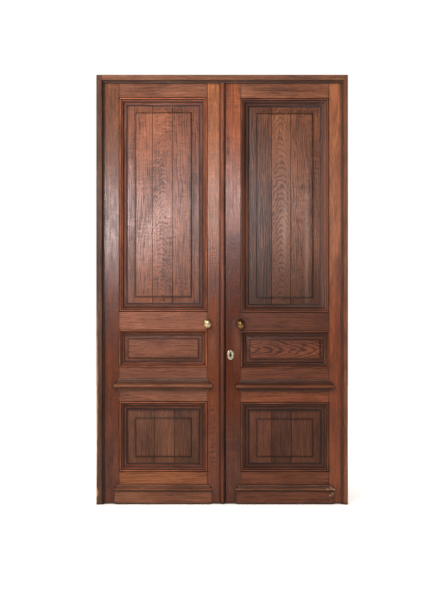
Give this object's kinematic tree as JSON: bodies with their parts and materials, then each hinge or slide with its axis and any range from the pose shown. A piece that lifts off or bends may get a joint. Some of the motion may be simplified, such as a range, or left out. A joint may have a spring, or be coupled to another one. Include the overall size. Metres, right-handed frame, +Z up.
{
  "type": "wooden double door",
  "caption": "Panelled oak double door in a rebated frame, with planted mouldings, ledges, plinths, lift-off hinges, oval knobs, latch, key lock and flush bolts.",
  "frame": {"origin": "on the floor, midway across the frame and in the mid-plane of the leaves, which is also the middle of the knobs' reach to the front and to the back", "axes": "+Z up, +X to the right and +Y away from a person who faces the moulded side"},
  "size_m": [1.446, 0.1566, 2.47],
  "materials": {
    "oak": "waxed brown oak, satin",
    "panel_oak": "waxed brown oak, satin",
    "moulding_oak": "waxed brown oak, satin",
    "brass": "worn polish",
    "iron": "dark",
    "steel": "dull"
  },
  "bodies": {
    "frame": {"left_jamb": "oak", "right_jamb": "oak", "head": "oak", "left_bottom_hinge_pin": "iron", "left_middle_hinge_pin": "iron", "left_top_hinge_pin": "iron", "right_bottom_hinge_pin": "iron", "right_middle_hinge_pin": "iron", "right_top_hinge_pin": "iron"},
    "left_leaf": {"left_hinge_stile": "oak", "left_meeting_stile": "oak", "left_top_rail": "oak", "left_lock_rail": "oak", "left_middle_rail": "oak", "left_bottom_rail": "oak", "left_upper_panel": "panel_oak", "left_middle_panel": "panel_oak", "left_lower_panel": "panel_oak", "left_upper_moulding": "moulding_oak", "left_middle_moulding": "moulding_oak", "left_lower_moulding": "moulding_oak", "left_ledge": "moulding_oak", "left_plinth_board": "moulding_oak", "left_plinth_cap": "moulding_oak", "cover_strip": "moulding_oak", "left_bottom_hinge_socket": "iron", "left_middle_hinge_socket": "iron", "left_top_hinge_socket": "iron", "left_front_knob": "brass", "left_back_knob": "brass", "strike_plate": "brass", "top_bolt_plate": "brass", "bottom_bolt_plate": "brass"},
    "right_leaf": {"right_hinge_stile": "oak", "right_meeting_stile": "oak", "right_top_rail": "oak", "right_lock_rail": "oak", "right_middle_rail": "oak", "right_bottom_rail": "oak", "right_upper_panel": "panel_oak", "right_middle_panel": "panel_oak", "right_lower_panel": "panel_oak", "right_upper_moulding": "moulding_oak", "right_middle_moulding": "moulding_oak", "right_lower_moulding": "moulding_oak", "right_ledge": "moulding_oak", "right_plinth_board": "moulding_oak", "right_plinth_cap": "moulding_oak", "right_bottom_hinge_socket": "iron", "right_middle_hinge_socket": "iron", "right_top_hinge_socket": "iron", "keyhole_plate": "brass", "lock_case": "brass", "latch_case": "brass"},
    "right_knobs": {"right_front_knob": "brass", "right_back_knob": "brass"},
    "latch": {"latch_bolt": "steel"},
    "lock": {"lock_bolt": "steel"},
    "top_flush_bolt": {"top_bolt": "steel"},
    "bottom_flush_bolt": {"bottom_bolt": "steel"}
  },
  "joints": [
    {"name": "left_leaf_swing", "type": "hinge", "parent": "frame", "child": "left_leaf", "pos_m": [-0.6925, 0.0285, 1.235], "axis": [0, 0, 1], "range_deg": [0, 165]},
    {"name": "right_leaf_swing", "type": "hinge", "parent": "frame", "child": "right_leaf", "pos_m": [0.7015, 0.0285, 1.235], "axis": [0, 0, -1], "range_deg": [0, 165]},
    {"name": "right_knob_turn", "type": "hinge", "parent": "right_leaf", "child": "right_knobs", "pos_m": [0.106, 0, 1.038], "axis": [0, 1, 0], "range_deg": [0, 90]},
    {"name": "latch_slide", "type": "slide", "parent": "right_leaf", "child": "latch", "axis": [-1, 0, 0], "range_m": [0, 0.012]},
    {"name": "lock_bolt_slide", "type": "slide", "parent": "right_leaf", "child": "lock", "axis": [-1, 0, 0], "range_m": [0, 0.016]},
    {"name": "top_bolt_slide", "type": "slide", "parent": "left_leaf", "child": "top_flush_bolt", "axis": [0, 0, 1], "range_m": [0, 0.018]},
    {"name": "bottom_bolt_slide", "type": "slide", "parent": "left_leaf", "child": "bottom_flush_bolt", "axis": [0, 0, -1], "range_m": [0, 0.018]}
  ],
  "couplings": [
    {"joint": "latch_slide", "follows": "right_knob_turn", "m_per_rad": 0.00763}
  ]
}
